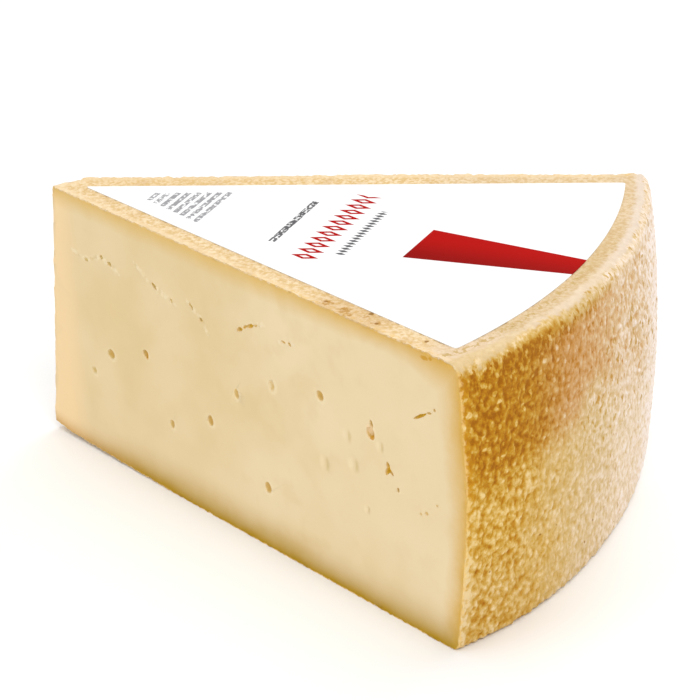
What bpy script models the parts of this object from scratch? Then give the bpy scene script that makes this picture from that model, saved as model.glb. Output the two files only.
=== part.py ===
"""A wedge of hard mountain cheese, cut from a wheel, with a paper label on its top rind.

The wheel is turned about its upright axis and cut through by three planes: the two
cut faces, which open from the axis, and a small one that takes off the brittle tip.
The label is a thin sheet that lies on the flat top, clear of the cut edges.
All sizes are in metres, with +Z up and +X from the tip to the rind.
"""
import math

import bmesh
import bpy
from mathutils import Vector

# Driving dimensions of the whole wheel
WHEEL_RADIUS = 0.260
WHEEL_HEIGHT = 0.117
RIM_BULGE_LOW = 0.0030      # the rim is this much narrower at the bottom than at mid height
RIM_BULGE_TOP = 0.0048      # and this much narrower at the top
SHOULDER_RADIUS = 0.005     # round of the rim into the flat top
FOOT_RADIUS = 0.003         # round of the rim into the flat base
RIM_LEAN = 0.0024           # at the front cut the rim leans out at the top and in at the bottom

# Driving dimensions of the cut
CUT_ANGLE = math.radians(45.8)
BACK_CUT_DRIFT = 0.005      # the blade drifted outwards by this much at the foot of the back cut
TIP_LOST_FRONT = 0.0123     # length missing from the tip along the top of the front cut
TIP_LOST_BACK = 0.0221      # and along the top of the back cut
TIP_LOST_FOOT = -0.0009     # and along the foot of the front cut, where the tip runs past the axis
CUT_EDGE_ROUND = 0.0009     # cut edges are slightly broken
TIP_EDGE_ROUND = 0.0022

# Driving dimensions of the label
LABEL_MARGIN_FRONT = 0.0090  # bare rind between the label and the front cut
LABEL_MARGIN_BACK = 0.0106   # and between the label and the back cut
LABEL_ARC_RADIUS = 0.2737
LABEL_ARC_CENTRE = -0.0295   # on the middle line, behind the wheel's axis
LABEL_CORNER = 0.0016
LABEL_THICKNESS = 0.0003
SURFACE_GAP = 0.0003         # between the label and the rind that it lies on

# How finely round stretches are divided
WHEEL_STEPS = 216
RIM_STEPS = 14
ROUND_STEPS = 5
LABEL_ARC_STEPS = 30
LABEL_CORNER_STEPS = 3
MERGE_DISTANCE = 0.00001

HALF_ANGLE = CUT_ANGLE / 2
FRONT = Vector((math.cos(HALF_ANGLE), -math.sin(HALF_ANGLE), 0))
BACK = Vector((math.cos(HALF_ANGLE), math.sin(HALF_ANGLE), 0))
UP = Vector((0, 0, 1))


def clear_objects():
    """Empties the scene."""
    for old in list(bpy.data.objects):
        bpy.data.objects.remove(old, do_unlink=True)


def side_radius(height):
    """Radius of the bulging rim at a height, before its two rounds."""
    away = 2 * height / WHEEL_HEIGHT - 1
    bulge = RIM_BULGE_TOP if away > 0 else RIM_BULGE_LOW
    return WHEEL_RADIUS - bulge * away * away


def wheel_outline():
    """Half the wheel's section, from the middle of its base to the middle of its top."""
    outline = [Vector((0, 0, 0))]
    foot = side_radius(FOOT_RADIUS) - FOOT_RADIUS
    for step in range(ROUND_STEPS + 1):
        turn = math.pi / 2 * step / ROUND_STEPS
        outline.append(Vector((foot + FOOT_RADIUS * math.sin(turn), 0, FOOT_RADIUS * (1 - math.cos(turn)))))
    side = WHEEL_HEIGHT - FOOT_RADIUS - SHOULDER_RADIUS
    for step in range(1, RIM_STEPS):
        height = FOOT_RADIUS + side * step / RIM_STEPS
        outline.append(Vector((side_radius(height), 0, height)))
    shoulder_foot = WHEEL_HEIGHT - SHOULDER_RADIUS
    shoulder = side_radius(shoulder_foot) - SHOULDER_RADIUS
    for step in range(ROUND_STEPS + 1):
        turn = math.pi / 2 * step / ROUND_STEPS
        outline.append(Vector((
            shoulder + SHOULDER_RADIUS * math.cos(turn),
            0,
            shoulder_foot + SHOULDER_RADIUS * math.sin(turn),
        )))
    outline.append(Vector((0, 0, WHEEL_HEIGHT)))
    return outline


def turned_wheel():
    """The whole wheel as one closed mesh, its outline spun about the upright axis."""
    wheel = bmesh.new()
    corners = [wheel.verts.new(point) for point in wheel_outline()]
    edges = [wheel.edges.new(pair) for pair in zip(corners, corners[1:])]
    bmesh.ops.spin(
        wheel,
        geom=corners + edges,
        cent=(0, 0, 0),
        axis=UP,
        angle=math.tau,
        steps=WHEEL_STEPS,
        use_merge=False,
    )
    bmesh.ops.remove_doubles(wheel, verts=wheel.verts, dist=MERGE_DISTANCE)
    bmesh.ops.recalc_face_normals(wheel, faces=wheel.faces)
    return wheel


def lean_rim(wheel):
    """Leans the rim, fully at the front cut and less and less towards the back cut."""
    for corner in wheel.verts:
        radius = math.hypot(corner.co.x, corner.co.y)
        if radius < WHEEL_RADIUS / 2:
            continue
        angle = math.atan2(corner.co.y, corner.co.x)
        share = min(max((HALF_ANGLE - angle) / CUT_ANGLE, 0), 1)
        moved = radius + RIM_LEAN * share * (2 * corner.co.z / WHEEL_HEIGHT - 1)
        corner.co.x *= moved / radius
        corner.co.y *= moved / radius


def cut_planes():
    """Point and outward normal of the front cut, the back cut and the tip's break."""
    front_normal = FRONT.cross(UP).normalized()
    back_foot = front_normal.reflect(Vector((0, 1, 0))) * BACK_CUT_DRIFT
    back_normal = BACK.cross(UP * WHEEL_HEIGHT - back_foot).normalized()
    if back_normal.y < 0:
        back_normal.negate()
    tip_front = FRONT * TIP_LOST_FRONT + UP * WHEEL_HEIGHT
    tip_back = BACK * TIP_LOST_BACK + UP * WHEEL_HEIGHT
    tip_foot = FRONT * TIP_LOST_FOOT
    tip_normal = (tip_back - tip_front).cross(tip_foot - tip_front).normalized()
    if tip_normal.x > 0:
        tip_normal.negate()
    return [
        (Vector((0, 0, 0)), front_normal),
        (UP * WHEEL_HEIGHT, back_normal),
        (tip_front, tip_normal),
    ]


def cut_through(wheel, point, normal):
    """Cuts off what lies beyond a plane and closes the cut with one flat face."""
    halves = bmesh.ops.bisect_plane(
        wheel,
        geom=wheel.verts[:] + wheel.edges[:] + wheel.faces[:],
        dist=MERGE_DISTANCE,
        plane_co=point,
        plane_no=normal,
        clear_outer=True,
    )
    rim = [item for item in halves["geom_cut"] if isinstance(item, bmesh.types.BMEdge)]
    bmesh.ops.edgeloop_fill(wheel, edges=rim)
    bmesh.ops.recalc_face_normals(wheel, faces=wheel.faces)


def lies_in(face, plane):
    """True for a face that lies in a cutting plane."""
    point, normal = plane
    return face.normal.dot(normal) > 0.9999 and abs((face.calc_center_median() - point).dot(normal)) < 0.0001


def round_edges(wedge, planes):
    """Breaks the long edges of the cuts, and rounds the two upright edges of the tip more."""
    def faces_of(plane):
        return {face for face in wedge.faces if lies_in(face, plane)}

    tip = faces_of(planes[2])
    cuts = faces_of(planes[0]) | faces_of(planes[1])
    upright = [edge for edge in wedge.edges if tip & set(edge.link_faces) and cuts & set(edge.link_faces)]
    bmesh.ops.bevel(
        wedge,
        geom=upright,
        offset=TIP_EDGE_ROUND,
        offset_type="OFFSET",
        segments=3,
        profile=0.5,
        affect="EDGES",
    )
    flat = set()
    for plane in planes:
        flat |= faces_of(plane)
    sharp = [
        edge
        for edge in wedge.edges
        if len(flat & set(edge.link_faces)) == 1 and edge.calc_face_angle(0) > math.radians(40)
    ]
    bmesh.ops.bevel(
        wedge,
        geom=sharp,
        offset=CUT_EDGE_ROUND,
        offset_type="OFFSET",
        segments=2,
        profile=0.5,
        affect="EDGES",
    )


def cheese_wedge():
    """One wedge of the wheel, as a closed mesh."""
    wedge = turned_wheel()
    lean_rim(wedge)
    planes = cut_planes()
    for point, normal in planes:
        cut_through(wedge, point, normal)
    bmesh.ops.dissolve_limit(
        wedge,
        angle_limit=math.radians(0.05),
        verts=wedge.verts,
        edges=wedge.edges,
    )
    round_edges(wedge, planes)
    return wedge


def label_outline():
    """Corners and arc of the label: two straight sides beside the cuts and an arc beside the rim."""
    tip = Vector((
        (LABEL_MARGIN_BACK + LABEL_MARGIN_FRONT) / 2 / math.sin(HALF_ANGLE),
        (LABEL_MARGIN_FRONT - LABEL_MARGIN_BACK) / 2 / math.cos(HALF_ANGLE),
        0,
    ))
    from_centre = tip - Vector((LABEL_ARC_CENTRE, 0, 0))

    def arc_end(direction):
        """Where a straight side from the label's tip meets the arc, as an angle about the arc's centre."""
        along = from_centre.dot(direction)
        reach = math.sqrt(along * along - from_centre.length_squared + LABEL_ARC_RADIUS ** 2) - along
        end = from_centre + direction * reach
        return math.atan2(end.y, end.x)

    first, last = arc_end(FRONT), arc_end(BACK)
    outline = [tip]
    for step in range(LABEL_ARC_STEPS + 1):
        turn = first + (last - first) * step / LABEL_ARC_STEPS
        outline.append(Vector((
            LABEL_ARC_CENTRE + LABEL_ARC_RADIUS * math.cos(turn),
            LABEL_ARC_RADIUS * math.sin(turn),
            0,
        )))
    return outline


def paper_label():
    """The label as a thin flat sheet, its three corners rounded."""
    sheet = bmesh.new()
    lift = UP * (WHEEL_HEIGHT + SURFACE_GAP)
    corners = [sheet.verts.new(point + lift) for point in label_outline()]
    sheet.faces.new(corners)
    bmesh.ops.bevel(
        sheet,
        geom=[corners[0], corners[1], corners[-1]],
        offset=LABEL_CORNER,
        offset_type="OFFSET",
        segments=LABEL_CORNER_STEPS,
        profile=0.5,
        affect="VERTICES",
    )
    bmesh.ops.recalc_face_normals(sheet, faces=sheet.faces)
    raised = bmesh.ops.extrude_face_region(sheet, geom=sheet.faces[:], use_keep_orig=True)
    top = [item for item in raised["geom"] if isinstance(item, bmesh.types.BMVert)]
    bmesh.ops.translate(sheet, verts=top, vec=UP * LABEL_THICKNESS)
    bmesh.ops.recalc_face_normals(sheet, faces=sheet.faces)
    return sheet


def make_material(name, colour, roughness):
    """A plain matt finish in the piece's main colour."""
    material = bpy.data.materials.new(name)
    material.use_nodes = True
    surface = material.node_tree.nodes["Principled BSDF"]
    surface.inputs["Base Color"].default_value = (*colour, 1)
    surface.inputs["Roughness"].default_value = roughness
    surface.inputs["Metallic"].default_value = 0
    return material


def make_object(name, shape, material):
    """Puts a finished shape into the scene under its own name."""
    mesh = bpy.data.meshes.new(name)
    shape.to_mesh(mesh)
    shape.free()
    mesh.materials.append(material)
    mesh.shade_smooth()
    mesh.set_sharp_from_angle(angle=math.radians(30))
    piece = bpy.data.objects.new(name, mesh)
    bpy.context.scene.collection.objects.link(piece)
    return piece


def stand_on_origin(pieces):
    """Moves the pieces together, so that the origin is under the middle of their box."""
    points = [corner.co for piece in pieces for corner in piece.data.vertices]
    middle = Vector((
        (min(p.x for p in points) + max(p.x for p in points)) / 2,
        (min(p.y for p in points) + max(p.y for p in points)) / 2,
        min(p.z for p in points),
    ))
    for piece in pieces:
        for corner in piece.data.vertices:
            corner.co -= middle


clear_objects()
stand_on_origin([
    make_object("cheese_wedge", cheese_wedge(), make_material("cheese", (0.82, 0.68, 0.41), 0.5)),
    make_object("label", paper_label(), make_material("label_paper", (0.9, 0.9, 0.89), 0.6)),
])
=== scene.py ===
import math

import bpy
import numpy as np
from mathutils import Matrix, Vector


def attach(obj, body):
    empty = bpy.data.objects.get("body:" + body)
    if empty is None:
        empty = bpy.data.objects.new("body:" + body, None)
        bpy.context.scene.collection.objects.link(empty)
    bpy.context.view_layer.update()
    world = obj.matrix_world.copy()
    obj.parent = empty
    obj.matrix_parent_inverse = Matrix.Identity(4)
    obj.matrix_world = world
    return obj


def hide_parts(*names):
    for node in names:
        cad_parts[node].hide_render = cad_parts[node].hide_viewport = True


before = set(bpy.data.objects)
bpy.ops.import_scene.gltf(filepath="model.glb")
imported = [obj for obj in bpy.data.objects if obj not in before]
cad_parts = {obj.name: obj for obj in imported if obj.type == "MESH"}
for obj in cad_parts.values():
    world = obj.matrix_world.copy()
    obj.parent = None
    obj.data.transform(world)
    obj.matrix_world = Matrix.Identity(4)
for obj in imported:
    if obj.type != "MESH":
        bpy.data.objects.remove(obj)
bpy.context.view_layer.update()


# The wedge: its turned and cut shape
# The real piece is an eighth of a pressed wheel of hard mountain cheese. It sagged in its mould, so
# its rim bulges, a blade cut it from the middle outwards, and its brittle tip broke off at a slant.

WHEEL_RADIUS = 0.260
WHEEL_HEIGHT = 0.117
RIM_BULGE_LOW = 0.0030
RIM_BULGE_TOP = 0.0048
RIM_LEAN = 0.0024
SHOULDER_RADIUS = 0.005
FOOT_RADIUS = 0.003
WHEEL_SIDES = 720
HALF_ANGLE = math.radians(22.9)
BACK_CUT_DRIFT = 0.005
TIP_LOST_FRONT = 0.0123
TIP_LOST_BACK = 0.0221
TIP_LOST_FOOT = -0.0009
DRAWN_IN = 0.0016           # how far the rim is drawn in by the top of the front corner
DRAWN_IN_FROM = 0.068
DRAWN_IN_TO = 0.090
DRAWN_IN_REACH = math.radians(4.5)
GRAIN_SIZE = 0.00065        # the finest lump that the wedge's mesh holds

UP = Vector((0, 0, 1))
FRONT = Vector((math.cos(HALF_ANGLE), -math.sin(HALF_ANGLE), 0))
BACK = Vector((math.cos(HALF_ANGLE), math.sin(HALF_ANGLE), 0))
AXIS = Vector((-0.130067, -0.0016525, 0))       # where the wheel's axis stands in the part's frame


def start_piece(name):
    """Names the primitive that was just added."""
    piece = bpy.context.object
    piece.name = name
    piece.data.name = name
    return piece


def choose_edges(piece, test):
    """Goes into edit mode with only those edges selected whose two ends pass a test."""
    bpy.ops.object.mode_set(mode="EDIT")
    bpy.ops.mesh.select_mode(type="EDGE")
    bpy.ops.mesh.select_all(action="DESELECT")
    bpy.ops.object.mode_set(mode="OBJECT")
    ends = piece.data.vertices
    for edge in piece.data.edges:
        edge.select = all(test(ends[index].co) for index in edge.vertices)
    bpy.ops.object.mode_set(mode="EDIT")


def apply_modifier(piece, kind, **settings):
    """Adds one modifier with its settings and applies it."""
    bpy.context.view_layer.objects.active = piece
    modifier = piece.modifiers.new(kind.title(), kind)
    for name, value in settings.items():
        setattr(modifier, name, value)
    bpy.ops.object.modifier_apply(modifier=modifier.name)


bpy.ops.object.select_all(action="DESELECT")
bpy.ops.mesh.primitive_cylinder_add(
    vertices=WHEEL_SIDES,
    radius=WHEEL_RADIUS,
    depth=WHEEL_HEIGHT,
    end_fill_type="NGON",
    location=(0, 0, WHEEL_HEIGHT / 2),
)
wedge = start_piece("alpine_cheese")
bpy.ops.object.transform_apply(location=True)
for rim_height, round_radius in ((WHEEL_HEIGHT, SHOULDER_RADIUS), (0, FOOT_RADIUS)):
    choose_edges(wedge, lambda end: abs(end.z - rim_height) < 0.0001)
    bpy.ops.mesh.bevel(offset=round_radius, segments=6, profile=0.5)

front_normal = FRONT.cross(UP)
back_foot = Vector((front_normal.x, -front_normal.y, 0)) * BACK_CUT_DRIFT
back_normal = (UP * WHEEL_HEIGHT - back_foot).cross(BACK).normalized()
tip_front = FRONT * TIP_LOST_FRONT + UP * WHEEL_HEIGHT
tip_back = BACK * TIP_LOST_BACK + UP * WHEEL_HEIGHT
tip_normal = (tip_back - tip_front).cross(FRONT * TIP_LOST_FOOT - tip_front).normalized()
cuts = (
    (Vector((0, 0, 0)), front_normal),
    (UP * WHEEL_HEIGHT, back_normal),
    (tip_front, tip_normal),
)
for point, normal in cuts:
    bpy.ops.mesh.select_all(action="SELECT")
    bpy.ops.mesh.bisect(plane_co=point, plane_no=normal, use_fill=True, clear_outer=True)
bpy.ops.object.mode_set(mode="OBJECT")
apply_modifier(wedge, "REMESH", mode="VOXEL", voxel_size=GRAIN_SIZE, use_smooth_shade=True)


def read_points(piece, kind="co"):
    """One row of a table for every vertex of a piece: its place, or its normal."""
    points = np.empty(len(piece.data.vertices) * 3)
    piece.data.vertices.foreach_get(kind, points)
    return points.reshape(-1, 3)


def write_points(piece, points):
    """Puts changed vertices back."""
    piece.data.vertices.foreach_set("co", points.ravel())
    piece.data.update()


points = read_points(wedge)
angles = np.arctan2(points[:, 1], points[:, 0])
off_half_height = 2 * points[:, 2] / WHEEL_HEIGHT - 1
rim_bulge = np.where(off_half_height > 0, RIM_BULGE_TOP, RIM_BULGE_LOW) * off_half_height ** 2
rim_lean = RIM_LEAN * np.clip((HALF_ANGLE - angles) / (2 * HALF_ANGLE), 0, 1) * off_half_height
drawn_in = np.clip((points[:, 2] - DRAWN_IN_FROM) / (DRAWN_IN_TO - DRAWN_IN_FROM), 0, 1)
drawn_in *= DRAWN_IN * np.clip(1 - (angles + HALF_ANGLE) / DRAWN_IN_REACH, 0, 1)
rim_change = rim_lean - rim_bulge - drawn_in
points[:, :2] *= (1 + rim_change / WHEEL_RADIUS)[:, None]


# The wedge: relief of its rind and cut faces
# The rind dried and was brushed with brine for months, so it is bristly and pitted. The blade left
# the cuts nearly flat, with dents and torn crumbs where it dragged, and a fine burr along the rind.

# How far each kind of lump stands out, and how wide it is
RIM_WAVES, RIM_WAVE_SIZE = 0.0008, 0.030
RIM_RELIEF, RIM_PIT_SIZE, BRISTLE_SIZE = 0.0009, 0.0024, 0.0017
TOP_RELIEF, TOP_PIT_SIZE, TOP_LUMP_SIZE = 0.0004, 0.0020, 0.0016
CUT_RELIEF, CUT_WAVE_SIZE = 0.0003, 0.018
TIP_RELIEF, TIP_LUMP_SIZE = 0.0003, 0.0035
BURR, BURR_SIZE = 0.0009, 0.0036
CRUMBS, CRUMB_SIZE = 0.0010, 0.0019

LABEL_MARGIN_FRONT = 0.0090
LABEL_MARGIN_BACK = 0.0106
LABEL_ARC_RADIUS = 0.2737
LABEL_ARC_CENTRE = -0.0295
PRESSED = 0.00025           # how far the rind reaches up to the label that is pressed onto it

# Each is (distance along the front cut, height, half length, half height, depth), in millimetres,
# with a depth below 0 where the cut bulges
FRONT_DENTS = (
    (43.8, 70.5, 4.8, 8.0, -0.5),
    (46.4, 71.0, 2.4, 7.5, -0.4),
    (84.5, 66, 3.0, 5.0, -0.25),
    (214.2, 69.9, 1.5, 2.4, 0.7),
    (199.2, 56.7, 2.1, 2.8, 0.8),
    (182.5, 51.2, 1.9, 3.0, 0.7),
    (196, 68, 1.8, 2.6, 0.2),
    (206.2, 40.7, 1.2, 1.7, 0.6),
    (128, 66, 6.0, 9.0, 0.35),
    (110, 60, 7.0, 8.0, 0.3),
)

# How far the top rind curls up at the back cut, as (distance along it, height) in millimetres
BACK_EDGE_CURL = (
    (20, 0.45), (60, 0.4), (110, 0.6), (140, 0.9), (180, 0.7), (225, 0.15), (240, 0.2), (250, 0.7),
)

CURL_REACH = 0.012          # how far down the curl at the back cut still tells
FOOT_REACH = 0.030          # how far up the flare and the rise of the foot still tell
FLARE_REACH = 0.060         # how far in from the rim the flare still tells

# How far the rim's foot flares out, as (angle from the middle of the wedge in degrees, millimetres)
FOOT_FLARE = ((-22, 0.2), (-20, 1.1), (-17.5, 2.2), (-9, 2.0), (-5, 1.6), (-1, 0.9), (4, 0.4), (13, 0.2))

# How far the lower side rises towards the tip, as (distance from the axis, height) in millimetres
FOOT_RISE = ((0, 3.8), (4, 3.1), (9, 2.5), (15, 2.0), (50, 0.9), (90, 0))

# Chains of torn crumbs on the front cut, as (distance along it, height) in millimetres
FRONT_TEARS = (
    ((24, 92), (33, 90), (39, 93), (44, 94.5), (49.5, 93), (56, 91)),
    ((67, 99), (74.4, 95), (79.8, 93), (85, 91), (93, 88.5)),
    ((101, 93), (105.6, 90), (109.5, 88), (114, 83)),
    ((133, 91), (141, 95.5), (149, 98)),
    ((158, 94), (166, 95.5)),
)

depth_top = WHEEL_HEIGHT - points[:, 2]
depth_foot = points[:, 2]
depth_rim = WHEEL_RADIUS + rim_change - np.hypot(points[:, 0], points[:, 1])
depth_cuts = [(np.array(point) - points) @ np.array(normal) for point, normal in cuts]
depth_cut = np.min(depth_cuts, axis=0)
depth_rind = np.min([depth_top, depth_foot, depth_rim], axis=0)
under_label = np.min([
    depth_cuts[0] - LABEL_MARGIN_FRONT,
    depth_cuts[1] - LABEL_MARGIN_BACK,
    LABEL_ARC_RADIUS - np.hypot(points[:, 0] - LABEL_ARC_CENTRE, points[:, 1]),
    0.003 - depth_top,
], axis=0)


def near(depth, reach=0.0012):
    """1 on a surface, falling to 0 at a small depth below it."""
    return np.clip(1.6 - depth / reach, 0, 1)


along = points @ np.array(FRONT)
dent_shade_and_highlight = np.zeros(len(points))
for dent_along, dent_height, long, tall, deep in FRONT_DENTS:
    sideways = (along * 1000 - dent_along) / long
    upwards = (points[:, 2] * 1000 - dent_height) / tall
    hollowed = np.exp(-sideways ** 2 - upwards ** 2)
    points -= (deep / 1000 * hollowed * near(depth_cuts[0]))[:, None] * np.array(front_normal)
    # Small dents also get painted shade on their right side and a painted highlight on their left, which
    # the finish reads
    if tall < 4:
        lit_side = np.exp(-(sideways + 0.55) ** 2 - upwards ** 2)
        dent_shade_and_highlight += (hollowed - lit_side) * near(depth_cuts[0])
points[:, 2] += PRESSED * np.clip(1 + under_label / 0.0006, 0, 1)
along_back = points @ np.array(BACK) * 1000
curl = np.interp(along_back, *zip(*BACK_EDGE_CURL)) / 1000
curl *= np.clip(1 - depth_cuts[1] / LABEL_MARGIN_BACK, 0, 1)
points[:, 2] += curl * np.clip(1 - depth_top / CURL_REACH, 0, 1)
radii = np.hypot(points[:, 0], points[:, 1])
flare = np.interp(np.degrees(angles), *zip(*FOOT_FLARE)) / 1000
by_foot = np.clip(1 - depth_foot / FOOT_REACH, 0, 1)
flare *= by_foot ** 1.5 * np.clip(1 - depth_rim / FLARE_REACH, 0, 1)
points[:, :2] *= (1 + flare / radii)[:, None]
rise = np.interp(radii * 1000, *zip(*FOOT_RISE)) / 1000
points[:, 2] += rise * by_foot
write_points(wedge, points)

off_tear = np.full(len(points), 1.0)
on_cut = np.stack([along, points[:, 2]], axis=1)
for tear in FRONT_TEARS:
    for start, end in zip(tear, tear[1:]):
        start, end = np.array(start) / 1000, np.array(end) / 1000
        passed = np.clip((on_cut - start) @ (end - start) / np.dot(end - start, end - start), 0, 1)
        off_line = on_cut - start - passed[:, None] * (end - start)
        off_tear = np.minimum(off_tear, np.linalg.norm(off_line, axis=1))


def weigh(piece, name, shares):
    """A vertex group whose weights are rounded to tenths."""
    group = piece.vertex_groups.new(name=name)
    tenths = np.rint(np.clip(shares, 0, 1) * 10).astype(int)
    for tenth in range(1, 11):
        group.add(np.flatnonzero(tenths == tenth).tolist(), tenth / 10, "REPLACE")


to_edge = np.clip(depth_cut / 0.0006 + 0.5, 0, 1)
bare = np.clip(1 - under_label / 0.001, 0, 1)
weigh(wedge, "rim", near(depth_rim) * to_edge)
weigh(wedge, "bristles", near(depth_rim) * to_edge * np.clip((depth_top - 0.0025) / 0.005, 0.15, 1))
weigh(wedge, "flat_rind", near(np.minimum(depth_top, depth_foot)) * to_edge * bare)
weigh(wedge, "cuts", near(depth_cut) * np.clip(depth_rind / 0.003, 0, 1))
weigh(wedge, "tip", near(depth_cuts[2], 0.002) * np.clip(depth_rind / 0.002, 0.3, 1))
weigh(wedge, "burr", near(depth_rind) * near(depth_cut, 0.0010) * np.clip(1.5 - depth_top / 0.004, 0.4, 1))
tear_marks = near(depth_cuts[0]) * np.clip(1.3 - off_tear / 0.0018, 0, 1)
worked = np.maximum(np.clip(np.abs(dent_shade_and_highlight) * 6, 0, 1), tear_marks)
weigh(wedge, "tears", tear_marks)
spare = np.clip(depth_rim / 0.003 - 1, 0, 1) * (0.9 + 0.1 * np.clip(under_label / 0.001, 0, 1))
weigh(wedge, "spare", spare * (1 - worked))


def displace(piece, group, kind, size, strength, stretch=1, mid_level=0.5, **settings):
    """Raises and lowers one group of vertices, or all, along their normals by a noise pattern."""
    pattern = bpy.data.textures.new(f"{piece.name}_{group}_{kind}", kind)
    pattern.noise_scale = size
    for name, value in settings.items():
        setattr(pattern, name, value)
    guide = bpy.data.objects.new("guide", None)
    guide.scale = (1, 1, stretch)
    bpy.context.scene.collection.objects.link(guide)
    bpy.context.view_layer.update()
    apply_modifier(
        piece,
        "DISPLACE",
        texture=pattern,
        texture_coords="OBJECT",
        texture_coords_object=guide,
        direction="NORMAL",
        vertex_group=group,
        strength=strength,
        mid_level=mid_level,
    )
    bpy.data.objects.remove(guide)


displace(wedge, "rim", "CLOUDS", RIM_WAVE_SIZE, RIM_WAVES, noise_depth=1)
displace(wedge, "cuts", "CLOUDS", CUT_WAVE_SIZE, CUT_RELIEF, noise_depth=1)
smooth_points = read_points(wedge)
smooth_normals = read_points(wedge, "normal")
displace(wedge, "bristles", "VORONOI", RIM_PIT_SIZE, -RIM_RELIEF, stretch=1.3)
displace(wedge, "bristles", "CLOUDS", BRISTLE_SIZE, RIM_RELIEF, stretch=1.4, noise_depth=1)
displace(wedge, "flat_rind", "VORONOI", TOP_PIT_SIZE, -TOP_RELIEF)
displace(wedge, "flat_rind", "CLOUDS", TOP_LUMP_SIZE, TOP_RELIEF, noise_depth=1)
displace(wedge, "tip", "CLOUDS", TIP_LUMP_SIZE, TIP_RELIEF, noise_depth=2)
displace(wedge, "burr", "CLOUDS", BURR_SIZE, BURR, mid_level=0.42, noise_depth=2)
displace(wedge, "tears", "CLOUDS", CRUMB_SIZE, CRUMBS, mid_level=0.42, noise_depth=1)
points = read_points(wedge)


def keep_values(piece, name, values):
    """Stores one number for every vertex, for the piece's finish to read."""
    piece.data.attributes.new(name, "FLOAT", "POINT").data.foreach_set("value", values)


keep_values(wedge, "relief", np.einsum("ij,ij->i", points - smooth_points, smooth_normals))
keep_values(wedge, "torn", tear_marks)
keep_values(wedge, "dented", dent_shade_and_highlight)
keep_values(wedge, "hollow", np.zeros(len(points)))
points[:, 2] = np.maximum(points[:, 2], 0)
write_points(wedge, points)
WEDGE_SHARE_KEPT = 0.215    # of the triangles, once flat stretches are thinned
apply_modifier(wedge, "DECIMATE", ratio=WEDGE_SHARE_KEPT, vertex_group="spare", vertex_group_factor=0.0001)


# The wedge: eyes and slits in its paste
# Gas made round eyes a few millimetres wide while the wheel ripened, and the hardening
# paste split into short slits. The blade opened both.

HOLLOW_GRAIN = 0.00035
HOLLOW_LUMP_SIZE = 0.0016

# Each is (distance along the cut, height, length, width, depth, tilt in degrees), in millimetres
FRONT_EYES = (
    (46.0, 51.2, 4.9, 5.3, 0.9, 105),
    (70.7, 59.7, 4.0, 3.7, 1.2, 112),
    (32.9, 39.3, 4.2, 3.4, 0.6, 105),
    (152.2, 73.5, 5.4, 4.2, 0.5, 100),
    (180.8, 79.2, 4.7, 4.3, 1.0, 104),
    (209.0, 74.0, 5.0, 4.6, 1.3, 70),
    (209.6, 77.6, 4.4, 2.0, 1.0, 97),
    (129.5, 62.0, 5.0, 3.4, 0.8, 105),
    (223.6, 55.7, 2.2, 1.7, 1.0, 100),
    (112.0, 44.0, 5.2, 4.0, 1.0, 95),
    (86.0, 33.0, 4.4, 3.4, 0.8, 80),
    (147.0, 27.0, 5.4, 4.2, 1.0, 100),
)
FRONT_SLITS = (
    (134.0, 91.4, 3.8, 1.9, 1.6, 34),
    (140.4, 94.8, 4.2, 1.8, 1.5, 24),
    (137.2, 93.4, 3.0, 1.3, 1.2, 38),
    (143.8, 96.2, 3.0, 1.2, 0.9, 20),
    (160.4, 94.8, 3.0, 1.2, 0.9, -5),
    (164.0, 94.9, 2.2, 1.4, 1.0, -20),
    (236.0, 90.5, 8.0, 1.35, 1.8, 32),
    (240.8, 93.4, 3.0, 1.0, 0.9, 18),
    (243.8, 95.6, 1.6, 1.4, 0.9, 20),
    (33.2, 90.3, 2.8, 1.8, 0.9, 10),
    (44.2, 94.6, 2.6, 2.0, 1.1, 60),
    (49.5, 93.2, 2.8, 1.9, 1.2, -20),
    (79.8, 92.8, 4.2, 1.9, 1.5, -30),
    (90.8, 89.8, 2.4, 1.5, 0.9, -40),
    (103.6, 91.4, 3.6, 1.4, 1.0, -45),
    (109.6, 87.6, 2.2, 1.7, 1.1, -30),
    (218.4, 63.6, 3.8, 2.1, 2.2, 106),
    (217.9, 61.3, 4.2, 2.0, 2.2, 63),
    (219.7, 61.9, 4.2, 1.6, 2.1, 140),
    (238.9, 52.0, 2.2, 1.7, 0.7, 20),
    (235.8, 50.5, 1.6, 1.3, 0.5, 20),
    (244.6, 57.4, 1.6, 1.3, 0.45, 0),
)
BACK_EYES = (
    (38.0, 66.0, 5.4, 3.8, 1.2, 80),
    (62.0, 41.0, 4.8, 3.0, 1.1, 100),
    (95.0, 72.0, 5.6, 3.6, 1.3, 75),
    (118.0, 30.0, 4.4, 3.2, 1.0, 95),
    (141.0, 84.0, 3.4, 2.6, 1.0, 60),
    (163.0, 52.0, 6.0, 4.0, 1.4, 85),
    (188.0, 76.0, 4.8, 3.0, 1.1, 110),
    (201.0, 34.0, 5.0, 3.4, 1.2, 90),
    (226.0, 61.0, 3.6, 2.6, 1.0, 70),
)
BACK_SLITS = (
    (29.0, 92.0, 3.4, 1.4, 0.9, 30),
    (54.0, 88.0, 4.6, 1.8, 1.3, 35),
    (58.5, 90.4, 2.4, 1.3, 0.9, 20),
    (84.0, 95.0, 3.0, 1.4, 1.0, -20),
    (108.0, 52.0, 2.2, 1.3, 0.9, 70),
    (133.0, 63.0, 4.4, 1.8, 1.3, 120),
    (136.0, 60.4, 3.6, 1.6, 1.2, 60),
    (171.0, 93.0, 5.8, 1.6, 1.2, -28),
    (209.0, 88.0, 3.6, 1.4, 1.0, 15),
    (214.0, 47.0, 2.0, 1.4, 0.9, 40),
)


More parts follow.
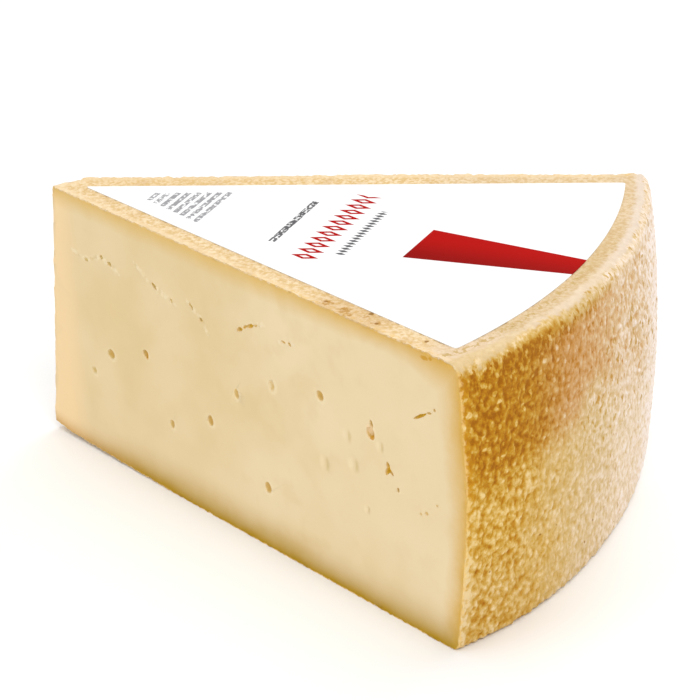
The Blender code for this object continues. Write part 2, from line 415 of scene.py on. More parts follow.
def add_hollow(number, direction, place):
    """Adds one lump to be cut out of a cut face: a ball 1 mm wide, stretched, turned and placed."""
    along, height, length, width, depth, tilt = place
    point, normal = cuts[number]
    bpy.ops.mesh.primitive_ico_sphere_add(subdivisions=3, radius=0.0005, location=(0, 0, 0))
    lump = bpy.context.object
    bpy.ops.object.mode_set(mode="EDIT")
    bpy.ops.transform.resize(value=(length, 2 * depth, width))
    bpy.ops.object.mode_set(mode="OBJECT")
    middle = direction * along / 1000 + UP * height / 1000
    middle -= normal * (middle - point).dot(normal)
    up = (UP - normal * UP.dot(normal)).normalized()
    turned = Matrix((direction, up.cross(direction), up)).transposed().to_4x4()
    lump.data.transform(Matrix.Translation(middle) @ turned @ Matrix.Rotation(math.radians(-tilt), 4, "Y"))
    return lump


def join_pieces(pieces, name):
    """Joins separate pieces into one object."""
    bpy.ops.object.select_all(action="DESELECT")
    for piece in pieces:
        piece.select_set(True)
    bpy.context.view_layer.objects.active = pieces[0]
    bpy.ops.object.join()
    return start_piece(name)


# Each is (the cut's number, the direction along it, the places, how uneven, the mark that the finish reads)
hollow_groups = (
    (0, FRONT, FRONT_EYES, 0.0005, 1.0),
    (0, FRONT, FRONT_SLITS, 0.0004, 0.6),
    (1, BACK, BACK_EYES, 0.0005, 1.0),
    (1, BACK, BACK_SLITS, 0.0004, 0.6),
)
for number, direction, places, uneven, mark in hollow_groups:
    hollows = join_pieces([add_hollow(number, direction, place) for place in places], "hollows")
    apply_modifier(hollows, "REMESH", mode="VOXEL", voxel_size=HOLLOW_GRAIN, use_smooth_shade=True)
    displace(hollows, "", "CLOUDS", HOLLOW_LUMP_SIZE, uneven, noise_depth=1)
    keep_values(hollows, "hollow", np.full(len(hollows.data.vertices), mark))
    apply_modifier(wedge, "BOOLEAN", object=hollows, operation="DIFFERENCE", solver="MANIFOLD")
    bpy.data.objects.remove(hollows)

wedge.data.transform(Matrix.Translation(AXIS))
bpy.context.view_layer.objects.active = wedge
bpy.ops.object.select_all(action="DESELECT")
wedge.select_set(True)
bpy.ops.object.shade_smooth_by_angle(angle=math.radians(60))


# The wedge: its finish
# Paste and rind are one material in the real cheese, which darkens and dries towards the outside. So
# colour follows the depth under the rind, and the rind is coloured by where it lies on the wheel.


class Field:
    """A value or colour that varies over a surface."""

    def __init__(self, finish, socket):
        self.finish = finish
        self.socket = socket

    def math(self, operation, first, second=0.0):
        return self.finish.node("ShaderNodeMath", {"operation": operation}, {0: first, 1: second})

    def __add__(self, other):
        return self.math("ADD", self, other)

    def __radd__(self, other):
        return self.math("ADD", other, self)

    def __sub__(self, other):
        return self.math("SUBTRACT", self, other)

    def __rsub__(self, other):
        return self.math("SUBTRACT", other, self)

    def __mul__(self, other):
        return self.math("MULTIPLY", self, other)

    def __rmul__(self, other):
        return self.math("MULTIPLY", other, self)

    def __truediv__(self, other):
        return self.math("DIVIDE", self, other)

    def __pow__(self, other):
        return self.math("POWER", self, other)

    def __neg__(self):
        return self.math("SUBTRACT", 0, self)

    def __abs__(self):
        return self.math("ABSOLUTE", self)

    def whole(self):
        """The whole number below."""
        return self.math("FLOOR", self)

    def least(self, other):
        return self.math("MINIMUM", self, other)

    def most(self, other):
        return self.math("MAXIMUM", self, other)

    def share(self, low, high):
        """0 below low, 1 above high, and straight between."""
        return self.finish.node(
            "ShaderNodeMapRange",
            {},
            {"Value": self, "From Min": low, "From Max": high},
        )

    def rise(self, low, high):
        """0 below low, 1 above high, and smooth between."""
        return self.finish.node(
            "ShaderNodeMapRange",
            {"interpolation_type": "SMOOTHSTEP"},
            {"Value": self, "From Min": low, "From Max": high},
        )

    def fall(self, low, high):
        """1 below low, 0 above high, and smooth between."""
        return self.finish.node(
            "ShaderNodeMapRange",
            {"interpolation_type": "SMOOTHSTEP"},
            {"Value": self, "From Min": low, "From Max": high, "To Min": 1.0, "To Max": 0.0},
        )


class Finish:
    """One material, built up from fields."""

    def __init__(self, name):
        self.material = bpy.data.materials.new(name)
        self.material.use_nodes = True
        self.tree = self.material.node_tree
        self.surface = self.tree.nodes["Principled BSDF"]

    def node(self, kind, settings, sockets, output=0):
        """Adds any node: its settings first, then a value or a field for each socket."""
        made = self.tree.nodes.new(kind)
        for name, value in settings.items():
            setattr(made, name, value)
        for name, value in sockets.items():
            self.fill(made.inputs[name], value)
        return Field(self, made.outputs[output])

    def fill(self, socket, value):
        if isinstance(value, Field):
            self.tree.links.new(value.socket, socket)
        elif isinstance(value, tuple) and len(value) == 3 and socket.type == "RGBA":
            socket.default_value = (*value, 1)
        else:
            socket.default_value = value

    def set(self, **values):
        """Fills the shader's own sockets, named with _ for a space."""
        for name, value in values.items():
            self.fill(self.surface.inputs[name.replace("_", " ")], value)

    def mix(self, share, first, second):
        """Blends two colours."""
        return self.node("ShaderNodeMix", {"data_type": "RGBA"}, {0: share, 6: first, 7: second}, output=2)

    def noise(self, place, size, detail=2.0, roughness=0.5):
        """Soft noise from 0 to 1, with lumps of about the given size in metres."""
        return self.node(
            "ShaderNodeTexNoise",
            {},
            {"Vector": place, "Scale": 1 / size, "Detail": detail, "Roughness": roughness},
        )

    def cells(self, place, size):
        """Distance from the middles of scattered cells, in cell sizes."""
        return self.node("ShaderNodeTexVoronoi", {"feature": "F1"}, {"Vector": place, "Scale": 1 / size})

    def vector(self, operation, first, second, output=0):
        return self.node("ShaderNodeVectorMath", {"operation": operation}, {0: first, 1: second}, output)


def from_screen(red, green, blue):
    """A colour as picked on a screen, 0 to 255, in the shader's linear light."""
    return tuple(((part / 255 + 0.055) / 1.055) ** 2.4 for part in (red, green, blue))


cheese = Finish("cheese")
place = cheese.node("ShaderNodeTexCoord", {}, {}, output=3)
place = cheese.vector("SUBTRACT", place, tuple(AXIS))
split = cheese.node("ShaderNodeSeparateXYZ", {}, {"Vector": place})
x, y, z = (Field(cheese, socket) for socket in split.socket.node.outputs)
radius = (x * x + y * y) ** 0.5
angle = cheese.node("ShaderNodeMath", {"operation": "ARCTAN2"}, {0: y, 1: x})
away = z * (2 / WHEEL_HEIGHT) - 1
upper = away.most(0)
lower = away.least(0)
lean = (0.5 - angle * (0.5 / HALF_ANGLE)) * away * RIM_LEAN
drawn = z.share(DRAWN_IN_FROM, DRAWN_IN_TO) * (-angle).share(HALF_ANGLE - DRAWN_IN_REACH, HALF_ANGLE)
under_rim = WHEEL_RADIUS - radius + lean - drawn * DRAWN_IN
under_rim = under_rim - upper * upper * RIM_BULGE_TOP - lower * lower * RIM_BULGE_LOW
under_top = WHEEL_HEIGHT - z
corner_top = (SHOULDER_RADIUS - under_top).most(0)
corner_rim = (SHOULDER_RADIUS - under_rim).most(0)
in_corner = SHOULDER_RADIUS - (corner_top * corner_top + corner_rim * corner_rim) ** 0.5
beyond_corner = (under_top - SHOULDER_RADIUS).least(under_rim - SHOULDER_RADIUS).most(0)
# FOOT_RISE once more, near enough in two straight steps
foot_rise = (1 - radius / 0.090).most(0) * 0.0024 + (1 - radius / 0.015).most(0) * 0.0014
above_foot = z - foot_rise * (1 - z / FOOT_REACH).most(0)
foot_low = (FOOT_RADIUS - above_foot).most(0)
foot_rim = (FOOT_RADIUS - under_rim).most(0)
in_foot = FOOT_RADIUS - (foot_low * foot_low + foot_rim * foot_rim) ** 0.5
beyond_foot = (above_foot - FOOT_RADIUS).least(under_rim - FOOT_RADIUS).most(0)
under_rind = (in_corner + beyond_corner).least(in_foot + beyond_foot)


def under_cut(number):
    """Depth behind one of the cut faces."""
    point, normal = cuts[number]
    return point.dot(normal) - cheese.vector("DOT_PRODUCT", place, tuple(normal), output=1)


behind_cut = under_cut(0).least(under_cut(1)).least(under_cut(2))

PASTE = from_screen(232, 209, 163)
PASTE_BY_TIP = from_screen(228, 203, 153)
PASTE_PALE = from_screen(238, 217, 176)
PASTE_DEEP = from_screen(226, 198, 146)
TIP_FACE = from_screen(245, 215, 165)
BAND = from_screen(224, 185, 106)
BAND_BY_RIM = from_screen(217, 170, 73)
BAND_FOOT = from_screen(180, 140, 0)
BAND_FOOT_TIP = from_screen(200, 146, 50)
IN_EYE = from_screen(220, 190, 128)
IN_EYE_BY_TIP = from_screen(214, 188, 126)
IN_EYE_DEEP = from_screen(200, 156, 68)
EYE_PAINTED_LIGHT = from_screen(242, 212, 168)
SLIT_EDGE = from_screen(230, 200, 130)
SLIT_EDGE_BY_TIP = from_screen(224, 204, 138)
IN_SLIT = from_screen(232, 196, 72)
PAINTED_SHADE = from_screen(212, 186, 128)
PAINTED_HIGHLIGHT = from_screen(244, 226, 188)
PALE_CRUMB_AND_HIGHLIGHT = from_screen(248, 232, 200)
LIP = from_screen(239, 214, 175)
LIP_GOLD = from_screen(232, 192, 116)
EDGE_GOLD = from_screen(240, 202, 128)
TOP_GAP = from_screen(216, 182, 124)
TOP_LUMP = from_screen(238, 216, 180)
TOP_STAIN = from_screen(188, 141, 72)
ARC_GAP = from_screen(202, 169, 117)
ARC_LUMP = from_screen(219, 196, 157)
ARC_PALE = from_screen(229, 207, 178)
ARC_FLECK = from_screen(190, 156, 84)
SHOULDER_TAN = from_screen(216, 190, 140)
SHOULDER = from_screen(227, 207, 178)
SHOULDER_FAR = from_screen(227, 214, 205)
GOLD_SPOT_AND_SHADE = from_screen(206, 150, 36)
FLECK = from_screen(150, 104, 44)
STRIP = from_screen(214, 154, 36)
GOLD_STROKE = from_screen(190, 148, 62)

BAND_DEPTH = 0.0085         # how deep the paste is darker under the top rind
RIM_BAND_DEPTH = 0.0103
FOOT_BAND_DEPTH = 0.0085
BROWN_FOOT = 0.070          # how high the rim's brown upper half begins

# What the rim shows from its deepest pits to its palest bristles, as (tone, colour)
GOLDEN_TONES = (
    (-0.25, from_screen(162, 99, 10)),
    (0.0, from_screen(182, 120, 20)),
    (0.25, from_screen(196, 143, 36)),
    (0.5, from_screen(212, 169, 77)),
    (0.75, from_screen(228, 192, 118)),
    (1.0, from_screen(240, 213, 152)),
    (1.25, from_screen(248, 229, 186)),
)
PINK_TONES = (
    (-0.25, from_screen(168, 104, 30)),
    (0.0, from_screen(188, 128, 50)),
    (0.25, from_screen(202, 150, 87)),
    (0.5, from_screen(211, 167, 115)),
    (0.75, from_screen(221, 190, 146)),
    (1.0, from_screen(236, 214, 189)),
    (1.25, from_screen(249, 235, 225)),
)
PALE_TONES = (
    (-0.25, from_screen(170, 112, 26)),
    (0.0, from_screen(186, 133, 44)),
    (0.25, from_screen(197, 153, 72)),
    (0.5, from_screen(207, 173, 106)),
    (0.75, from_screen(220, 192, 145)),
    (1.0, from_screen(237, 215, 187)),
    (1.25, from_screen(249, 235, 225)),
)

# Golden and brown flecks on the top rind by the front cut, as (x, y, half width) in millimetres
TOP_STAINS = (
    (169.8, -67.9, 2.6),
    (178.4, -71.6, 2.8),
    (181.5, -74.6, 1.8),
    (188.2, -74.4, 2.0),
    (194.0, -77.2, 2.0),
)
TOP_FLECKS = ((168.6, -66.8, 0.8), (189.1, -70.9, 1.1), (194.4, -77.6, 0.8), (217.4, -84.8, 0.8))

# Golden and pale spots on the front cut, as (distance along it, height, half width, half height), in mm.
# The last two golden spots are painted shade on the right and lower inner wall of the eye at 209 mm, and
# the pale spot is painted light on the floor of that eye.
GOLD_SPOTS_AND_EYE_SHADE = (
    (238.8, 114.6, 2.2, 1.0),
    (241.8, 115.2, 1.0, 0.7),
    (71.4, 59.0, 1.1, 1.8),
    (210.6, 73.4, 0.9, 1.5),
    (209.6, 72.0, 1.3, 0.7),
)
PAINTED_LIGHT_SPOTS = ((208.3, 75.0, 1.7, 2.4),)

fine = cheese.noise(place, 0.0014, detail=2)
grit = cheese.noise(place, 0.0026, detail=2, roughness=0.6)
mottle = cheese.noise(place, 0.012, detail=3)
drift = cheese.noise(place, 0.045, detail=2)
relief = cheese.node("ShaderNodeAttribute", {"attribute_name": "relief"}, {}, output=2)
torn = cheese.node("ShaderNodeAttribute", {"attribute_name": "torn"}, {}, output=2)
dented = cheese.node("ShaderNodeAttribute", {"attribute_name": "dented"}, {}, output=2)
hollow = cheese.node("ShaderNodeAttribute", {"attribute_name": "hollow"}, {}, output=2)

# The paste is paler and more patchy towards the rim, and darker under the rind and above the foot
paste = cheese.mix((radius + 0.03 * (drift - 0.5)).rise(0.06, 0.20), PASTE_BY_TIP, PASTE)
patchy = 0.5 + 0.5 * radius.rise(0.10, 0.16)
paste = cheese.mix(drift.rise(0.35, 0.65) * patchy, paste, PASTE_PALE)
paste = cheese.mix(mottle.rise(0.4, 0.75) * patchy * 0.3, paste, PASTE_PALE)
paste = cheese.mix(mottle.fall(0.3, 0.5) * patchy * 0.3, paste, PASTE_DEEP)
paste = cheese.mix(radius.rise(0.17, 0.22) * 0.5, paste, PASTE_PALE)
near_tip = (radius + 0.004 * mottle).fall(0.014, 0.032)
paste = cheese.mix(near_tip, paste, TIP_FACE)
waver = 0.0025 * (mottle - 0.5)
ahead = cheese.vector("DOT_PRODUCT", place, tuple(FRONT), output=1)
band_depth = BAND_DEPTH + 0.0007 * ahead.rise(0.09, 0.13) - 0.0018 * ahead.rise(0.190, 0.212)
band_depth += 0.0080 * ahead.rise(0.226, 0.252)
banded = (1 - (under_top + waver) / band_depth).most(0).least(1) ** 1.15
rim_band_depth = RIM_BAND_DEPTH + 0.0025 * z.rise(0.05, 0.09)
by_rim = (1 - (under_rim + 2 * waver + 0.002 * (grit - 0.5)) / rim_band_depth).most(0).least(1) ** 1.3
banded = banded.most(by_rim * 0.95)
paste = cheese.mix(banded, paste, cheese.mix(ahead.rise(0.14, 0.24), BAND, BAND_BY_RIM))
off_tip = radius.rise(0.005, 0.075)
foot_band_depth = FOOT_BAND_DEPTH + 0.0105 * off_tip
foot_band = (1.05 - (above_foot + waver) / foot_band_depth).most(0).least(1) ** 2.0
foot_band *= 0.75 + 0.25 * off_tip
paste = cheese.mix(foot_band, paste, cheese.mix(off_tip, BAND_FOOT_TIP, BAND_FOOT))

# Torn crumbs are pale where they stand up, partly their own colour and partly painted highlight; painted
# shade darkens the low side of the tears, and a small dent has painted shade on one side and a painted
# highlight on the other
crumbs = (torn + 1.6 * (fine - 0.5)).rise(0.55, 0.95)
paste = cheese.mix(crumbs * relief.rise(-0.0001, 0.0002) * 0.45, paste, PALE_CRUMB_AND_HIGHLIGHT)
# Painted shade on the low side of the torn crumbs
paste = cheese.mix(torn.rise(0.4, 0.9) * relief.fall(-0.0003, 0.0) * 0.4, paste, PAINTED_SHADE)
# Painted shade on one side of each small dent, and a painted highlight on the other
paste = cheese.mix(dented.rise(0.04, 0.40) * 0.55, paste, PAINTED_SHADE)
paste = cheese.mix((-dented).rise(0.04, 0.40) * 0.4, paste, PAINTED_HIGHLIGHT)


def spot_at(across, up, centre, half_width, half_height):
    """1 inside one soft-edged spot, 0 outside it, on a surface measured in metres."""
    sideways = (across - centre[0] / 1000) / (half_width / 1000)
    upwards = (up - centre[1] / 1000) / (half_height / 1000)
    return (sideways * sideways + upwards * upwards + 1.6 * (fine - 0.5)).fall(0.3, 1.3)


on_front = y.fall(-0.02, 0)
# A painted highlight on the lit lower right rim just outside each front eye
for eye in FRONT_EYES:
    lit_rim = spot_at(ahead, z, (eye[0] + 0.5, eye[1] - 0.3), eye[3] * 0.72, eye[2] * 0.66)
    paste = cheese.mix(lit_rim * on_front * 0.5, paste, PAINTED_HIGHLIGHT)
by_tip = radius.fall(0.09, 0.14)
in_eye = cheese.mix(by_tip, IN_EYE, IN_EYE_BY_TIP)
in_eye = cheese.mix((behind_cut + 0.0006 * (fine - 0.5)).rise(0.0003, 0.0010) * 0.75, in_eye, IN_EYE_DEEP)
in_slit = cheese.mix(by_tip, SLIT_EDGE, SLIT_EDGE_BY_TIP)
in_slit = cheese.mix(behind_cut.rise(0.0007, 0.0013), in_slit, IN_SLIT)
in_hollow = cheese.mix(hollow.rise(0.7, 0.9), in_slit, in_eye)
paste = cheese.mix(hollow.rise(0.2, 0.5) * behind_cut.rise(0.0001, 0.0006), paste, in_hollow)

# The rim's tone runs from 0 in its deepest pits to 1 on its palest bristles. It is palest in the
# lower half and at the far end, and darkest in the upper half by the front corner. turn is in
# degrees from the middle of the wedge: the front cut lies at -22.9 and the back cut at 22.9.
stretched = cheese.vector("MULTIPLY", place, (1, 1, 0.5))
strokes = cheese.noise(stretched, 0.0022, detail=2)
turn = angle * (180 / math.pi)
about_turn = turn + 6 * (mottle - 0.5) + 8 * (drift - 0.5)
behind_front = under_cut(0)
islands = cheese.cells(place, 0.0045) + 0.5 * (fine - 0.5) - 0.06 * behind_front.fall(0.004, 0.014)
far_end = turn.rise(5, 15)
low_tone = (0.52 + (turn + 15) * 0.028).most(0.48).least(1) + 0.2 * far_end
low_tone -= 0.06 * turn.fall(-22, -14) * z.fall(0.006, 0.028)
high_tone = 0.05 + (turn + 15) * 0.0455 + 0.1 * turn.rise(-3, 2)
high_tone = high_tone.most(0.03).least(0.88) + 0.31 * far_end
brown_foot = BROWN_FOOT + (turn + 14).most(0).least(8) * 0.0014 - (turn + 5).most(0).least(9) * 0.0023
brown_foot = brown_foot + 0.014 * (drift - 0.5) + 0.012 * (mottle - 0.5)
browned = (z - brown_foot).rise(-0.009, 0.012)
level = low_tone + (high_tone - low_tone) * browned
level += islands.fall(0.16, 0.30) * (0.2 + 0.35 * browned) * turn.fall(-12, -4)
level -= 0.07 * turn.rise(-15, -13) * turn.fall(-11, -9) * z.rise(0.080, 0.090)
level += 0.38 * (behind_front + 0.005 * (grit - 0.5)).fall(0.0020, 0.0060) * z.fall(0.030, 0.060)
flecks = strokes.rise(0.56, 0.68) * turn.rise(-14, -5) * (z + 0.03 * (drift - 0.5)).rise(0.03, 0.06)

# Where the rim ends at the top: a ragged line past the rounded shoulder
past_shoulder = under_top - under_rim
edge_of_rim = past_shoulder + 0.003 * (mottle - 0.5)
edge_of_rim += (0.007 + 0.010 * turn.fall(-21, -17)) * (strokes - 0.5)
edge_of_rim += 0.0018 * turn.rise(-17, -14) * turn.fall(-12, -8)
edge_of_rim -= 0.0022 * turn.fall(-20, -16.5)
past = edge_of_rim.rise(0.0016, 0.0050)
varied = 0.5 * relief / RIM_RELIEF + 1.1 * (grit - 0.5) + 0.5 * (fine - 0.5)
varied += 1.2 * (strokes - 0.5) * past_shoulder.fall(0.006, 0.020).most(turn.rise(-14, -9) * 0.5)
varied *= 1 + 0.45 * about_turn.fall(-20, -8)
varied *= 1 - 0.28 * about_turn.rise(-20, -10) * z.fall(0.055, 0.095)
by_shoulder = past_shoulder.rise(0.001, 0.003) * turn.fall(-3, 8)
by_shoulder *= (past_shoulder + 0.004 * turn.rise(-9, 0)).fall(0.007, 0.014)
flecks = flecks.most(strokes.rise(0.52, 0.60) * by_shoulder)
shoulder_tone = 0.56 + 0.4 * turn.rise(-11.5, 3)
tone = shoulder_tone + (level - shoulder_tone) * past + varied - 0.55 * flecks
tone = tone.least(0.92 + (turn + 12).most(0) * 0.03)

# Away from the front corner its upper half is pink and its lower half pale
pinked = (turn + 3 * (mottle - 0.5)).rise(-16, -9) * (z - brown_foot).rise(-0.015, 0.008)
pinked *= (past_shoulder + 0.003 * turn.rise(-8, 2)).rise(0.003, 0.010)
paled = about_turn.rise(-21, -5).most(0.4 * z.fall(0.015, 0.05))
paled = paled.most(0.6 * past_shoulder.fall(0.002, 0.007))


def along_tones(tone, steps):
    """The colour that a tone has between steps of (tone, colour)."""
    colour = steps[0][1]
    for (low, _), (high, next_colour) in zip(steps, steps[1:]):
        colour = cheese.mix(tone.share(low, high), colour, next_colour)
    return colour


rim = cheese.mix(paled, along_tones(tone, GOLDEN_TONES), along_tones(tone, PALE_TONES))
rim = cheese.mix(pinked, rim, along_tones(tone, PINK_TONES))
strip = (behind_front + 0.008 * (grit - 0.5)).fall(0.0005, 0.0055) * past * tone.fall(0.2, 0.7)
rim = cheese.mix(strip * 0.5, rim, STRIP)
gold_strokes = strokes.rise(0.55, 0.66) * mottle.rise(0.50, 0.58) * turn.rise(-8, 0) * 0.7
rim = cheese.mix(gold_strokes, rim, GOLD_STROKE)
rim = cheese.mix(cheese.cells(place, 0.0095).fall(0.035, 0.07) * z.fall(0.03, 0.07), rim, FLECK)

# The top rind is browner along its arc, and has stains and flecks by the front cut. By the far end of the
# back cut it takes the arc's browner colours as painted shade.
on_arc_and_back_shade = (under_rim + 0.006 * (mottle - 0.5)).fall(0.012, 0.026)
top_grain = (1.7 * (fine - 0.5) + 0.9 * (grit - 0.5)) * (1 + 0.4 * turn.rise(6, 14))
top_raised = relief / TOP_RELIEF * (0.6 - 0.5 * on_arc_and_back_shade) + top_grain
# Painted shade: the far end of the strip by the back cut gets the arc's browner colours
on_arc_and_back_shade = on_arc_and_back_shade.most(turn.rise(10, 15) * radius.rise(0.155, 0.185) * 0.65)
by_corner = turn.fall(-17.5, -14).most(turn.rise(3, 14) * 0.45)
by_corner = by_corner.most(turn.rise(-15, -12) * turn.fall(-6, -1) * 0.4)
arc_gap = cheese.mix(by_corner * 0.5, ARC_GAP, ARC_PALE)
arc_lump = cheese.mix(by_corner, ARC_LUMP, ARC_PALE)
top_rind = cheese.mix(
    top_raised.rise(-0.45, 0.45),
    cheese.mix(on_arc_and_back_shade, TOP_GAP, arc_gap),
    cheese.mix(on_arc_and_back_shade, TOP_LUMP, arc_lump),
)
crumbly = behind_cut + 0.0026 * (fine - 0.5) + 0.0020 * (grit - 0.5)
lip = cheese.mix(grit.rise(0.48, 0.60) * ahead.rise(0.10, 0.18), LIP, LIP_GOLD)
top_rind = cheese.mix(crumbly.fall(0.0012, 0.0040) * 0.6, top_rind, lip)
top_rind = cheese.mix(turn.rise(6, 14) * radius.fall(0.06, 0.16) * 0.28, top_rind, TOP_GAP)
off_rim = under_rim + 0.003 * (mottle - 0.5)
arc_line = off_rim.rise(0.0072, 0.0086) * off_rim.fall(0.0100, 0.0122)
arc_flecks = grit.rise(0.49, 0.57) * arc_line * turn.fall(-6, 6) * 0.75
top_rind = cheese.mix(arc_flecks, top_rind, ARC_FLECK)
stained = (mottle + 0.4 * (grit - 0.5)).rise(0.55, 0.75) * (1 - on_arc_and_back_shade) * 0.3
on_stained_strip = ahead.rise(0.172, 0.184) * ahead.fall(0.208, 0.220) * behind_front.fall(0.009, 0.014)
stained = stained.most(on_stained_strip * 0.3)
for stain in TOP_STAINS:
    spotted = spot_at(x, y, stain, stain[2] * 1.3, stain[2] * 0.9)
    stained = stained.most(spotted * (0.35 + 0.65 * top_raised.fall(-0.4, 0.4)))
top_rind = cheese.mix(stained, top_rind, TOP_STAIN)
flecked = 0.0
for fleck in TOP_FLECKS:
    flecked = spot_at(x, y, fleck, fleck[2], fleck[2]) + flecked
top_rind = cheese.mix(flecked.least(0.85), top_rind, FLECK)

# The shoulder between the top and the rim is smoother and paler
shoulder = cheese.mix(turn.rise(-21, -8), SHOULDER_TAN, SHOULDER)
far_shoulder = turn.rise(-8, 10).most(turn.rise(-17, -12) * turn.fall(-5, 1) * 0.35)
shoulder = cheese.mix(far_shoulder, shoulder, SHOULDER_FAR)
shoulder_gap = cheese.mix(0.36, shoulder, ARC_GAP)
shoulder_lump = cheese.mix(0.35, shoulder, LIP)
shoulder = cheese.mix((varied * 0.6).share(-0.3, 0.3), shoulder_gap, shoulder_lump)
on_shoulder = (past_shoulder + 0.003 * (mottle - 0.5) + 0.004 * (grit - 0.5)).rise(-0.0070, -0.0035)
rind = cheese.mix(on_shoulder, top_rind, shoulder)
rind = cheese.mix(edge_of_rim.rise(-0.0024, 0.0008), rind, rim)
fringe = (behind_cut + 0.0050 * (grit - 0.5)).fall(0.0000, 0.0014) * under_top.rise(0.001, 0.004)
rind = cheese.mix(fringe * 0.75, rind, EDGE_GOLD)

# Painted light on the floor of one front eye
for painted_light_spot in PAINTED_LIGHT_SPOTS:
    pale = spot_at(ahead, z, painted_light_spot, painted_light_spot[2], painted_light_spot[3])
    paste = cheese.mix(pale * on_front * 0.8, paste, EYE_PAINTED_LIGHT)
# Gold spots, two of which are painted shade on the inner wall of that eye
for gold_and_shade_spot in GOLD_SPOTS_AND_EYE_SHADE:
    gold_and_shade = spot_at(ahead, z, gold_and_shade_spot, gold_and_shade_spot[2], gold_and_shade_spot[3])
    paste = cheese.mix(gold_and_shade * on_front * 0.85, paste, GOLD_SPOT_AND_SHADE)

# Rind where the surface is the outside of the wheel, paste on the cuts
skin = (under_rind - 0.8 * behind_cut.least(0.001) + 0.0008 * (grit - 0.5)).fall(0.0002, 0.0008)
skin *= (behind_cut + 0.0004 * (fine - 0.5)).rise(-0.0002, 0.0003)
colour = cheese.mix(skin, paste, rind)
height = skin * (fine * 0.0003 + grit * 0.0004) + (1 - skin) * (fine * 0.00006)
bump = cheese.node("ShaderNodeBump", {}, {"Strength": 0.6, "Distance": 1.0, "Height": height})
cheese.set(Base_Color=colour, Roughness=0.5 + 0.25 * skin, Normal=bump, Specular_IOR_Level=0.12)
wedge.data.materials.clear()
wedge.data.materials.append(cheese.material)
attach(wedge, "root")
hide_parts("cheese_wedge")


# The label
# The real piece is a die-cut sheet of coated white paper, printed in red and grey and pressed
# onto the top rind, clear of both cuts.

RED = from_screen(176, 8, 0)
RED_DEEP = from_screen(140, 8, 3)
INK = from_screen(52, 50, 54)
INK_PALE = from_screen(120, 118, 122)
WHITE = (0.9, 0.9, 0.9)
LINE_TILT = 0.055           # how far the printed lines lean from the label's width
SMALL_LINE_TILT = 0.05
LINE_SPACING = 0.004
FIRST_LINE_HALF = 0.0043    # half the length of the small print's first line
LINE_GROWTH = 0.0018        # what each next line gains at either end
FIRST_LINE_SHIFT = 0.0003
LINE_DRIFT = 0.00012        # how far each next line lies further to the side
SMALL_LINES = 8
RED_BAND_HALF = 0.0150      # half its width where it begins
RED_BAND_SHIFT = 0.0048
RED_BAND_LEAN = 0.025
RED_BAND_TAPER = 0.112

# Where the print lies, as distances from the wheel's axis
FIRST_LINE = 0.0553
NOTE_LINE = (0.1213, 0.1243)
TITLE_LINE = 0.1411
SUBTITLE_LINE = 0.1532
RED_BAND_FROM = 0.1780

# Where the printed rows begin and end, across the label
NOTE_ENDS = (-0.0245, 0.0195)
TITLE_ENDS = (-0.0355, 0.0330)
SUBTITLE_ENDS = (-0.0265, 0.0200)

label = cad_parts["label"]
paper = Finish("label_paper")
sheet_place = paper.node("ShaderNodeTexCoord", {}, {}, output=3)
sheet_place = paper.vector("SUBTRACT", sheet_place, tuple(AXIS))
sheet_split = paper.node("ShaderNodeSeparateXYZ", {}, {"Vector": sheet_place})
lx, ly, _ = (Field(paper, socket) for socket in sheet_split.socket.node.outputs)
down = lx + ly * LINE_TILT


def between(value, low, high, soft=0.0002):
    """1 between two limits, with soft edges."""
    return value.rise(low - soft, low + soft) * value.fall(high - soft, high + soft)


def words(row, seed, size):
    """Noise for the words along a printed row, with each row far from the next in it."""
    flat = paper.node("ShaderNodeCombineXYZ", {}, {"X": ly / size, "Y": row * 7.3 + seed, "Z": lx * 900})
    return paper.node("ShaderNodeTexNoise", {}, {"Vector": flat, "Scale": 1.0, "Detail": 1.5})


def lozenges(middle, tall, wide, spacing):
    """A row of upright lozenges; 0 in the middle of each and 1 on its edge."""
    along_row = ly / spacing
    off_mark = abs(along_row - along_row.whole() - 0.5)
    return abs(down - middle) / (tall / 2) + off_mark * (2 * spacing / wide)


line = (lx + ly * SMALL_LINE_TILT - FIRST_LINE) / LINE_SPACING
row = line.whole()
in_row = line - row
reach = FIRST_LINE_HALF + row * LINE_GROWTH
small_print = between(in_row, 0.20, 0.80, 0.06) * between(row, -0.5, SMALL_LINES - 0.5, 0.1)
off_row_middle = ly + FIRST_LINE_SHIFT + row * LINE_DRIFT
small_print *= (reach - abs(off_row_middle)).rise(0, 0.0003)
small_print *= words(row, 0.0, 0.0019).rise(0.36, 0.50)
note = between(down, *NOTE_LINE) * between(ly, *NOTE_ENDS)
note *= words(0.0, 31.0, 0.0021).rise(0.38, 0.50)
title = lozenges(TITLE_LINE, tall=0.0118, wide=0.0050, spacing=0.0060)
title = title.fall(0.98, 1.04) * title.rise(0.36, 0.42) * between(ly, *TITLE_ENDS)
subtitle = lozenges(SUBTITLE_LINE, tall=0.0046, wide=0.0022, spacing=0.0027)
subtitle = subtitle.fall(0.95, 1.1) * between(ly, *SUBTITLE_ENDS)
in_band = (lx - RED_BAND_FROM).most(0)
across = ly + RED_BAND_SHIFT - in_band * RED_BAND_LEAN
off_band = RED_BAND_HALF - in_band * RED_BAND_TAPER - abs(across)
red_band = in_band.rise(0, 0.0002) * off_band.rise(0, 0.0002)
printed = paper.mix(small_print * 0.8, WHITE, INK_PALE)
printed = paper.mix((note + subtitle).least(1) * 0.9, printed, INK)
printed = paper.mix(title, printed, RED)
printed = paper.mix(red_band, printed, paper.mix(across.rise(-0.014, 0.008), RED_DEEP, RED))
paper.set(Base_Color=printed, Roughness=0.6, Specular_IOR_Level=0.03)
label.data.materials.clear()
label.data.materials.append(paper.material)


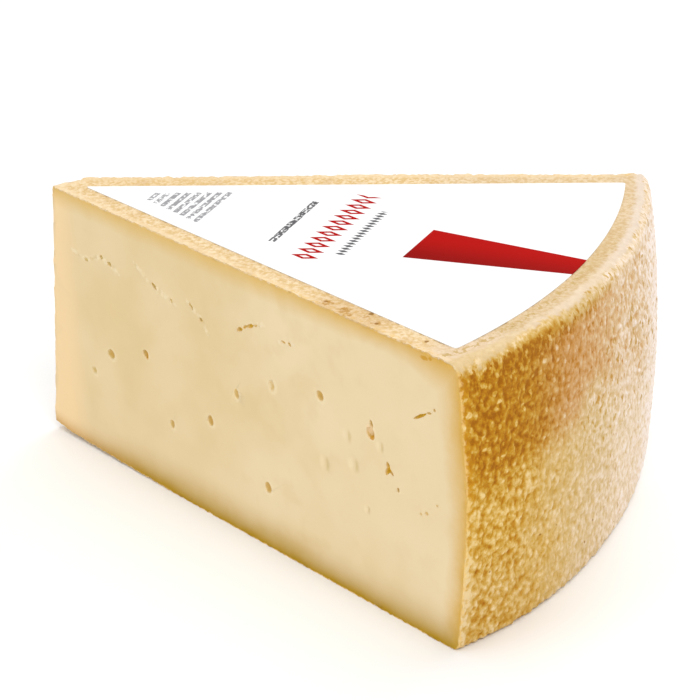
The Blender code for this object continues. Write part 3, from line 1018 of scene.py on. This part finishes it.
# The floor, the light and the view
# A plain pale floor under soft studio light, seen from the photo's side.

VIEW_AZIMUTH = math.radians(26.41)
VIEW_ELEVATION = math.radians(25.15)
VIEW_ROLL = math.radians(-1.69)
LENS = 125.9
CAMERA_PLACE = Vector((0.5435, -0.8028, 0.4846)) + AXIS
LIT_PLACE = Vector((0, 0, 0.06))

bpy.ops.mesh.primitive_plane_add(size=6, location=(0, 0, 0))
floor = start_piece("floor")
floor_finish = Finish("floor")
floor_finish.set(Base_Color=(0.95, 0.95, 0.95), Roughness=0.8)
floor.data.materials.append(floor_finish.material)

camera = bpy.data.objects.new("camera", bpy.data.cameras.new("camera"))
bpy.context.scene.collection.objects.link(camera)
camera.data.lens = LENS
camera.data.sensor_width = 36
camera.matrix_world = (
    Matrix.Translation(CAMERA_PLACE)
    @ Matrix.Rotation(VIEW_AZIMUTH, 4, "Z")
    @ Matrix.Rotation(math.pi / 2 - VIEW_ELEVATION, 4, "X")
    @ Matrix.Rotation(VIEW_ROLL, 4, "Z")
)
bpy.context.scene.camera = camera


def add_softbox(name, place, size, watts):
    """A square area light that points at the wedge."""
    lamp = bpy.data.lights.new(name, "AREA")
    lamp.shape = "SQUARE"
    lamp.size = size
    lamp.energy = watts
    softbox = bpy.data.objects.new(name, lamp)
    bpy.context.scene.collection.objects.link(softbox)
    softbox.location = place
    softbox.rotation_euler = (LIT_PLACE - Vector(place)).to_track_quat("-Z", "Y").to_euler()


add_softbox("key_light", (1.6, -1.5, 2.4), 1.6, 38)
add_softbox("fill_light", (-1.8, -2.0, 1.6), 1.6, 15)
add_softbox("top_light", (0, 0.3, 2.5), 2.0, 21)
add_softbox("back_light", (0.3, 2.2, 1.1), 1.6, 16)
world = bpy.data.worlds.new("studio")
bpy.context.scene.world = world
world.use_nodes = True
world.node_tree.nodes["Background"].inputs["Color"].default_value = (1, 1, 1, 1)
world.node_tree.nodes["Background"].inputs["Strength"].default_value = 0.5
bpy.context.scene.view_settings.view_transform = "Standard"
